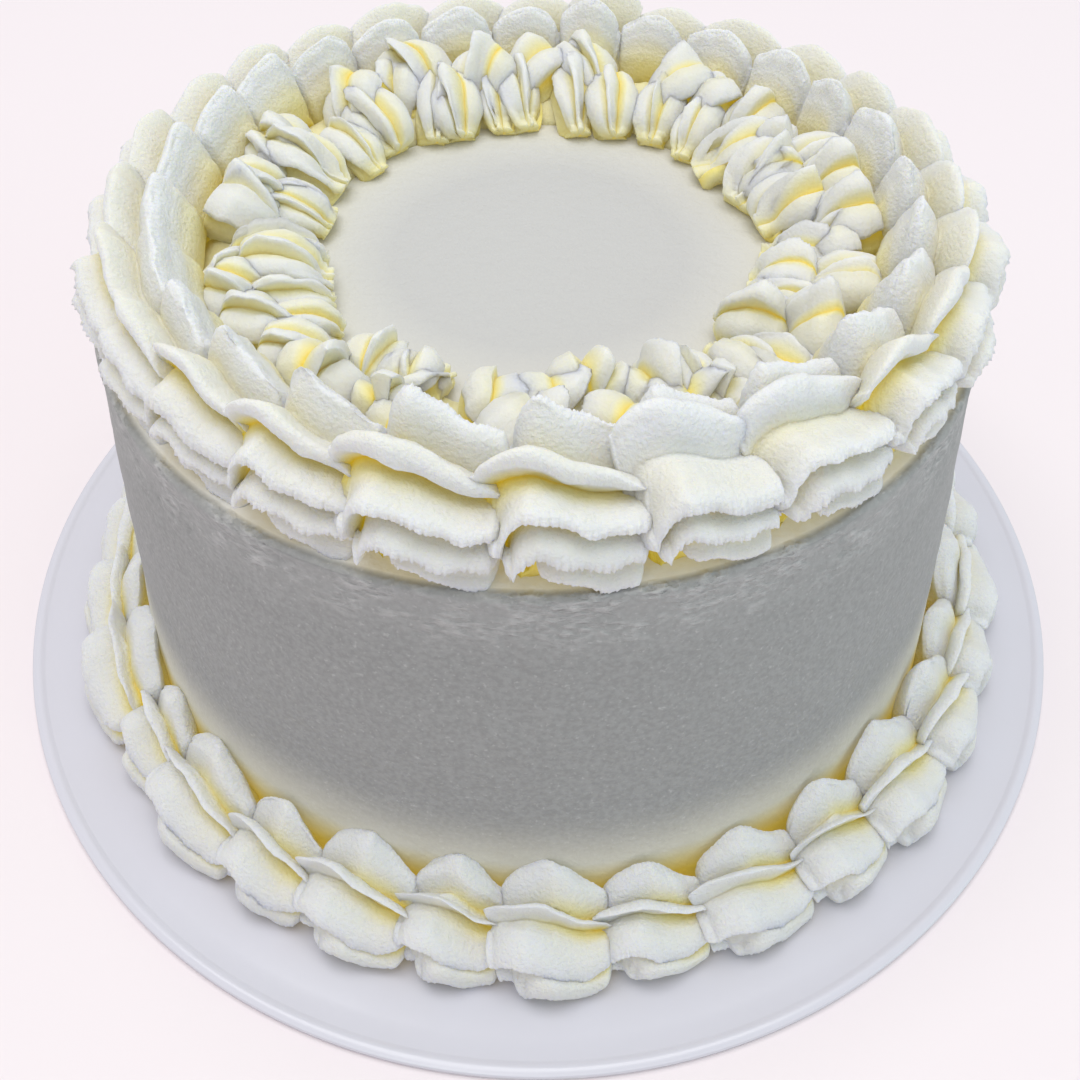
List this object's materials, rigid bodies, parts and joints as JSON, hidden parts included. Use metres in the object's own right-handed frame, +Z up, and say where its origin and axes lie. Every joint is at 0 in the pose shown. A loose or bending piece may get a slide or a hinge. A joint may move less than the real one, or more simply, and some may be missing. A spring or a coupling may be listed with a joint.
{
  "type": "buttercream cake",
  "caption": "Round white buttercream cake on a thin round board, with a smooth wall, piped shells at its foot and round its top edge, and a band of small petals round the smooth middle.",
  "frame": {"origin": "middle of the board's underside", "axes": "+Z up, -Y towards the front of the cake"},
  "size_m": [0.268, 0.268, 0.1351],
  "materials": {
    "board": "coated card, glossy",
    "smooth_icing": "spread buttercream, satin with fine pits",
    "piped_cream": "piped buttercream, satin, yellower in its grooves"
  },
  "bodies": {
    "root": {"cake_board": "board", "cake_body": "smooth_icing", "inner_border": "piped_cream", "top_shell_01": "piped_cream", "top_shell_02": "piped_cream", "top_shell_03": "piped_cream", "top_shell_04": "piped_cream", "top_shell_05": "piped_cream", "top_shell_06": "piped_cream", "top_shell_07": "piped_cream", "top_shell_08": "piped_cream", "top_shell_09": "piped_cream", "top_shell_10": "piped_cream", "top_shell_11": "piped_cream", "top_shell_12": "piped_cream", "top_shell_13": "piped_cream", "top_shell_14": "piped_cream", "top_shell_15": "piped_cream", "top_shell_16": "piped_cream", "top_shell_17": "piped_cream", "top_shell_18": "piped_cream", "top_shell_19": "piped_cream", "top_shell_20": "piped_cream", "top_shell_21": "piped_cream", "top_shell_22": "piped_cream", "top_shell_23": "piped_cream", "top_shell_24": "piped_cream", "top_shell_25": "piped_cream", "top_shell_26": "piped_cream", "foot_shell_01": "piped_cream", "foot_shell_02": "piped_cream", "foot_shell_03": "piped_cream", "foot_shell_04": "piped_cream", "foot_shell_05": "piped_cream", "foot_shell_06": "piped_cream", "foot_shell_07": "piped_cream", "foot_shell_08": "piped_cream", "foot_shell_09": "piped_cream", "foot_shell_10": "piped_cream", "foot_shell_11": "piped_cream", "foot_shell_12": "piped_cream", "foot_shell_13": "piped_cream", "foot_shell_14": "piped_cream", "foot_shell_15": "piped_cream", "foot_shell_16": "piped_cream", "foot_shell_17": "piped_cream", "foot_shell_18": "piped_cream", "foot_shell_19": "piped_cream", "foot_shell_20": "piped_cream", "foot_shell_21": "piped_cream", "foot_shell_22": "piped_cream", "foot_shell_23": "piped_cream", "foot_shell_24": "piped_cream", "foot_shell_25": "piped_cream", "foot_shell_26": "piped_cream", "foot_shell_27": "piped_cream", "foot_shell_28": "piped_cream", "foot_shell_29": "piped_cream", "foot_shell_30": "piped_cream", "foot_shell_31": "piped_cream"}
  },
  "joints": []
}
